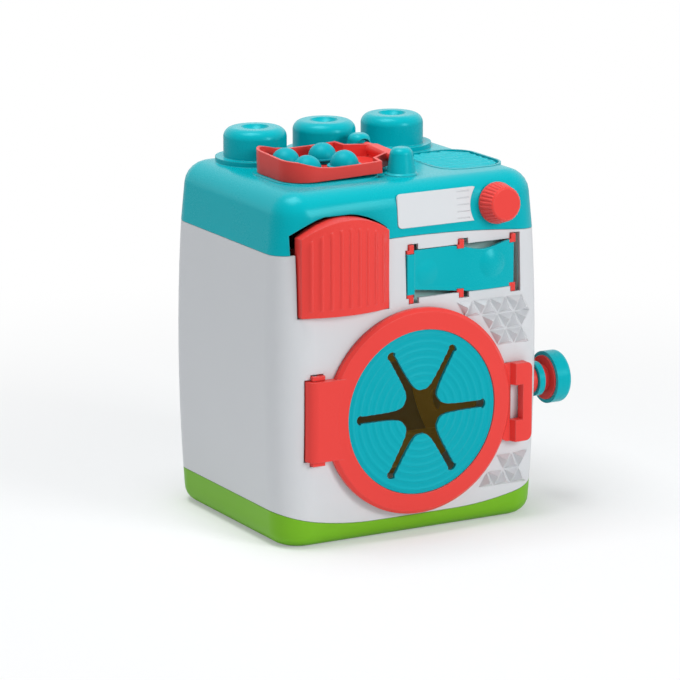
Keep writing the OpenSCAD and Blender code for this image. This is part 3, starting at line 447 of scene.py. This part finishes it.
# %% Lay the disc
rim_r, rim_thick, rim_middle = 0.0633, 0.0024, 0.0032
bpy.ops.object.select_all(action="DESELECT")
bpy.ops.mesh.primitive_cylinder_add(
    vertices=192, radius=rim_r, depth=rim_thick, location=(0, 0, rim_middle))
membrane = bpy.context.object
bpy.ops.object.transform_apply(location=True, rotation=True, scale=True)
print("disc", round(2000 * rim_r, 1), "mm across")

# %% [markdown]
# A ripple is a raised cosine, cubed so that its crest is narrow. It fades out before
# the rim and before the middle, where the star has no petal left to carry it.

# %% Inset the ripples
ripple_pitch, ripple_rise, crest_r = 5.6 * mm, 0.55 * mm, 21 * mm
fade_in_r, fade_in, fade_out_r, fade_out = 17 * mm, 3 * mm, 56.4 * mm, 1 * mm
face_r, face_lift, step, middle_r = 0.05765, 1.3 * mm, 0.7 * mm, 16 * mm


def held(share):
    return min(1, max(0, share))


def ripple(r):
    turn = (r - crest_r) / ripple_pitch
    near = held((r - fade_in_r) / fade_in) * held((fade_out_r - r) / fade_out)
    return ripple_rise * near * (0.5 + 0.5 * math.cos(2 * math.pi * turn)) ** 3


pick(membrane, lambda face: face.normal.z > 0.9)
bpy.ops.mesh.inset(thickness=rim_r - face_r)
extrude(face_lift)
rings, r = 0, face_r
while r > middle_r:
    bpy.ops.mesh.inset(thickness=step)
    bpy.ops.transform.translate(value=(0, 0, ripple(r - step) - ripple(r)))
    r -= step
    rings += 1
print("membrane with", rings, "rings")

# %% [markdown]
# The back is sunk inside its rim, so that the petals are as thin as the soft ones of
# the toy.

# %% Hollow the back
hollow_r, hollow_deep = 0.0539, 1.2 * mm
sunk = pick(membrane, lambda face: face.normal.z < -0.9)
bpy.ops.mesh.inset(thickness=rim_r - hollow_r)
extrude(hollow_deep)
bpy.ops.object.mode_set(mode="OBJECT")
print("back sunk from", sunk, "face")

# %% [markdown]
# The star has six narrow arms with round ends, and wide round corners between
# them. Its outline is a list of points: one side of an arm, its round end and its
# other side, turned six times about the middle. Distances are in millimetres. An arm
# is slim outside and flares towards the middle, at first slowly and then fast.

# %% Draw the star
root, reach, tip, arm_steps, arms = 14.2, 51.0, 3.7, 24, 6
slim, flare_at = 2.6, 13
fast_flare, fast_fade, slow_flare, slow_fade = 3.1, 2.2, 2.3, 7


def arm_half(a):
    fast = fast_flare * math.exp(-(a - flare_at) / fast_fade)
    slow = slow_flare * math.exp(-(a - flare_at) / slow_fade)
    return slim + fast + slow


stations = [root + i * (reach - tip - root) / arm_steps for i in range(arm_steps + 1)]
side = [(a, arm_half(a)) for a in stations]
cap = [(reach - tip + tip * math.sin(angle), -tip * math.cos(angle))
       for angle in map(math.radians, range(15, 180, 15))]
arm = [(a, -h) for a, h in side] + cap + [(a, h) for a, h in reversed(side[1:])]
outline = []
for k in range(arms):
    turn = Matrix.Rotation(math.radians(360 / arms * k), 2)
    outline += [turn @ Vector(point) for point in arm]
print("star of", len(outline), "points")

# %% [markdown]
# A filled circle with as many points is pulled to the outline and becomes a tall
# prism, and a Boolean modifier takes it out of the disc.

# %% Cut the star and hang the membrane
door_z, ring_back = 0.0888, -0.0866
prism_low, prism_tall = -2 * mm, 14 * mm
bpy.ops.object.select_all(action="DESELECT")
bpy.ops.mesh.primitive_circle_add(
    vertices=len(outline), radius=0.03, fill_type="NGON", location=(0, 0, 0))
star = bpy.context.object
for vertex, point in zip(star.data.vertices, outline):
    vertex.co = (point.x * mm, point.y * mm, prism_low)
bpy.ops.object.mode_set(mode="EDIT")
bpy.ops.mesh.select_all(action="SELECT")
extrude(prism_tall)
bpy.ops.object.mode_set(mode="OBJECT")
face_outward(star)
cut_away(membrane, star)
membrane.rotation_euler = (math.pi / 2, 0, 0)
membrane.location = (0, ring_back, door_z)
hand_over(membrane, "rippled_membrane", "door", "membrane_teal", ["door_membrane"], smooth=35)

# %% [markdown]
# ## The face of the drawer
# The red drawer face is a shallow cap: bowed outward, arched at the top, with nine
# raised beads that end in small round heads. A grid is laid with a column for each
# bead, the bead's faces are extruded, and then every point is moved onto the bow.
# Bending a finished flat plate is simpler than extruding beads on a curved one.

# %% Lay the grid
half_w, side_h, arch = 33.85 * mm, 54 * mm, 11.6 * mm
arch_radius = (half_w ** 2 + arch ** 2) / (2 * arch)
pitch, bead, crown, margin, outer = 6.95 * mm, 1.35 * mm, 0.45 * mm, 0.8 * mm, 4
columns = [-half_w, -half_w + margin]
for k in range(-outer, outer + 1):
    columns += [k * pitch - bead, k * pitch - crown, k * pitch + crown, k * pitch + bead]
    if k < outer:
        columns.append((k + 0.5) * pitch)
columns += [half_w - margin, half_w]
foot, head = 0.075, 0.91
rows = [0, 0.035, foot, 0.095, 0.3, 0.5, 0.7, 0.86, 0.885, head, 0.96, 1]


def top_of(x):
    return side_h + arch - arch_radius + math.sqrt(arch_radius ** 2 - x ** 2)


bpy.ops.object.select_all(action="DESELECT")
bpy.ops.mesh.primitive_grid_add(
    x_subdivisions=len(columns) - 1, y_subdivisions=len(rows) - 1, size=2)
face_plate = bpy.context.object
for vertex in face_plate.data.vertices:
    i = round((vertex.co.x + 1) / 2 * (len(columns) - 1))
    j = round((vertex.co.y + 1) / 2 * (len(rows) - 1))
    vertex.co = (columns[i], rows[j] * top_of(columns[i]), 0)
print("grid of", len(columns), "by", len(rows), "points")

# %% [markdown]
# Each bead is extruded and then rounded: its points sink towards its sides, and sink
# and draw in further at its two ends.

# %% Raise the beads
bead_rise, end_rise, side_sink = 0.85 * mm, 0.45, 0.75
side_narrow, end_narrow, end_slack = 0.86, 0.7, 0.005


def on_bead(face):
    k = round(face.center.x / pitch)
    up = face.center.y / top_of(face.center.x)
    return abs(k) <= outer and abs(face.center.x - k * pitch) < bead and foot < up < head


beads = pick(face_plate, on_bead)
extrude(bead_rise)
bpy.ops.object.mode_set(mode="OBJECT")
for vertex in face_plate.data.vertices:
    if vertex.co.z > bead_rise / 2:
        k = round(vertex.co.x / pitch)
        off = abs(vertex.co.x - k * pitch) / bead
        up = vertex.co.y / top_of(vertex.co.x)
        end = up < foot + end_slack or up > head - end_slack
        narrow = end_narrow if end else side_narrow
        vertex.co.z = bead_rise * (1 - side_sink * off ** 2) * (end_rise if end else 1)
        vertex.co.x = k * pitch + (vertex.co.x - k * pitch) * narrow
print("beads raised from", beads, "faces")

# %% [markdown]
# The rim of the plate is then extruded backward to make the flanks, and the whole
# is bowed: each point is lifted to a circle that runs from side to side.

# %% Bow the plate and draw out its flanks
bow, flank, drop = 7.5 * mm, 9.5 * mm, -1 * mm
bow_radius = (half_w ** 2 + bow ** 2) / (2 * bow)
only(face_plate)
bpy.ops.object.mode_set(mode="EDIT")
bpy.ops.mesh.select_mode(type="EDGE")
bpy.ops.mesh.select_all(action="DESELECT")
bpy.ops.mesh.select_non_manifold()
extrude(drop)
bpy.ops.object.mode_set(mode="OBJECT")
for vertex in face_plate.data.vertices:
    if vertex.co.z < drop / 2:
        vertex.co.z = -flank
    else:
        vertex.co.z += math.sqrt(bow_radius ** 2 - vertex.co.x ** 2) - (bow_radius - bow)
face_outward(face_plate)
print("flanks", round(1000 * flank, 1), "mm deep")

# %% [markdown]
# Solidify gives the plate its thickness inward. A small bevel rounds the rim, where
# the light draws its bright line.

# %% Give the plate its wall
drawer_x, front_face, drawer_z = -56.7 * mm, -86.75 * mm, 163.4 * mm
wall = face_plate.modifiers.new("wall", "SOLIDIFY")
wall.thickness = 2.2 * mm
wall.offset = -1
wall.use_even_offset = True
soft = face_plate.modifiers.new("soft", "BEVEL")
soft.limit_method = "ANGLE"
soft.angle_limit = math.radians(50)
soft.width = 0.9 * mm
soft.segments = 3
apply_all(face_plate)
face_plate.rotation_euler = (math.pi / 2, 0, 0)
face_plate.location = (drawer_x, front_face, drawer_z)
hand_over(face_plate, "drawer_face", "drawer", "shell_red", ["drawer_front"], smooth=40)

# %% [markdown]
# ## The waved panel
# The teal panel in the window is a thin strip that waves in and out as it runs,
# flat at its left end, with two round humps that a finger finds. Its upper and
# lower edges curve as well. A flat grid is pulled to the wave: along it for the
# place, and out of it for the wave and the humps.

# %% Pull the grid to the wave
left, right, low_z, high_z = -7.9 * mm, 77.1 * mm, 167.5 * mm, 201 * mm
panel_y, panel_thick, trim = -83.38 * mm, 2 * mm, 0.5 * mm
strip, strip_proud, wave_deep, waves = 2 / 28, 0.6 * mm, 1.9 * mm, 1.1
top_dip, low_lift, curve_from, curve_share = 3.8 * mm, 5.4 * mm, 0.42, 0.55
humps = [(8 * mm, 184 * mm, 9.5 * mm, 1.3 * mm), (59 * mm, 186 * mm, 10.5 * mm, 2.2 * mm)]


def panel_point(u, v):
    on_strip = u < strip - 0.001
    x = left + u * (right - left)
    top = high_z - trim - top_dip * math.sin(math.pi * held((u - curve_from) / curve_share)) ** 2
    low = low_z + trim
    if not on_strip:
        low += low_lift * max(0, 1 - (u - strip) / curve_share) ** 1.4
    z = low + v * (top - low)
    proud = strip_proud if on_strip else -wave_deep * math.sin(2 * math.pi * waves * (u - strip))
    for hump_x, hump_z, hump_r, rise in humps:
        off = math.hypot(x - hump_x, z - hump_z) / hump_r
        if off < 1:
            proud += rise * (1 - off ** 2) ** 1.2
    return x, panel_y - panel_thick - proud, z


bpy.ops.object.select_all(action="DESELECT")
bpy.ops.mesh.primitive_grid_add(x_subdivisions=112, y_subdivisions=44, size=2)
panel = bpy.context.object
for vertex in panel.data.vertices:
    vertex.co = panel_point((vertex.co.x + 1) / 2, (vertex.co.y + 1) / 2)
print("panel of", len(panel.data.vertices), "points")

# %% [markdown]
# Solidify makes the sheet 2 mm thick. It works away from the side that the faces
# look to, and on an open sheet that may be either one, so the faces are turned to
# the front first if need be.

# %% Give the panel its wall
face_outward(panel)
if sum(face.normal.y for face in panel.data.polygons) > 0:
    panel.data.flip_normals()
wall = panel.modifiers.new("wall", "SOLIDIFY")
wall.thickness = panel_thick
wall.offset = -1
apply_all(panel)
print("panel wall of", len(panel.data.polygons), "faces")

# %% [markdown]
# Three red bars stand behind the panel, and their ends reach round it as tabs. Each
# tab lies in a notch of the panel's edge, so six blocks are cut out of it.

# %% Cut the notches
notch_size, notch_in = (5.2 * mm, 14 * mm, 4.2 * mm), 0.6 * mm
for tab_x in (-5.3 * mm, 34.4 * mm, 75.8 * mm):
    for tab_z in (low_z + notch_in, high_z - notch_in):
        bpy.ops.object.select_all(action="DESELECT")
        bpy.ops.mesh.primitive_cube_add(size=1, location=(tab_x, panel_y, tab_z))
        block = bpy.context.object
        block.scale = notch_size
        bpy.ops.object.transform_apply(location=True, rotation=True, scale=True)
        cut_away(panel, block)
hand_over(panel, "waved_panel", "wave_slider", "lid_teal", ["wave_panel"], smooth=35)

# %% [markdown]
# ## Floor
# One pale sheet reaches far behind the toy, as a roll of studio paper does, so no
# edge of it comes into view. Away from the toy it turns to plain white for the
# camera alone: near the toy it keeps the shadow, and no extra light reaches the toy.

# %% Mix the paper
shadow_r, white_r, least_white = 0.12, 0.75, 0.3
paper = Finish("studio_paper")
here = paper.place()
fibre = paper.noise(here, 160, 2)
paper.coat({
    "Base Color": paper.blend((0.90, 0.91, 0.915, 1), (0.885, 0.895, 0.90, 1), fibre),
    "Roughness": 0.9})
away = paper.node("ShaderNodeVectorMath", {"operation": "LENGTH"}, {0: here}, out="Value")
far = paper.node("ShaderNodeMapRange", {"interpolation_type": "SMOOTHSTEP"}, {
    "Value": away, "From Min": shadow_r, "From Max": white_r,
    "To Min": least_white, "To Max": 1})
seen_by_camera = paper.node("ShaderNodeLightPath", out="Is Camera Ray")
bright = paper.node("ShaderNodeEmission", {}, {"Color": (1, 1, 1, 1), "Strength": 1})
mixed = paper.node("ShaderNodeMixShader", {}, {
    0: far * seen_by_camera, 1: Wire(paper, paper.skin.outputs[0]), 2: bright})
paper.put(paper.tree.nodes["Material Output"].inputs["Surface"], mixed)
print("paper with", len(paper.tree.nodes), "nodes")

# %% Lay the floor
floor_side = 14
bpy.ops.object.select_all(action="DESELECT")
bpy.ops.mesh.primitive_plane_add(size=floor_side, location=(0, 0, 0))
floor = bpy.context.object
floor.name = "studio_floor"
floor.data.materials.append(paper.material)
print("floor", floor.dimensions.x, "m wide")
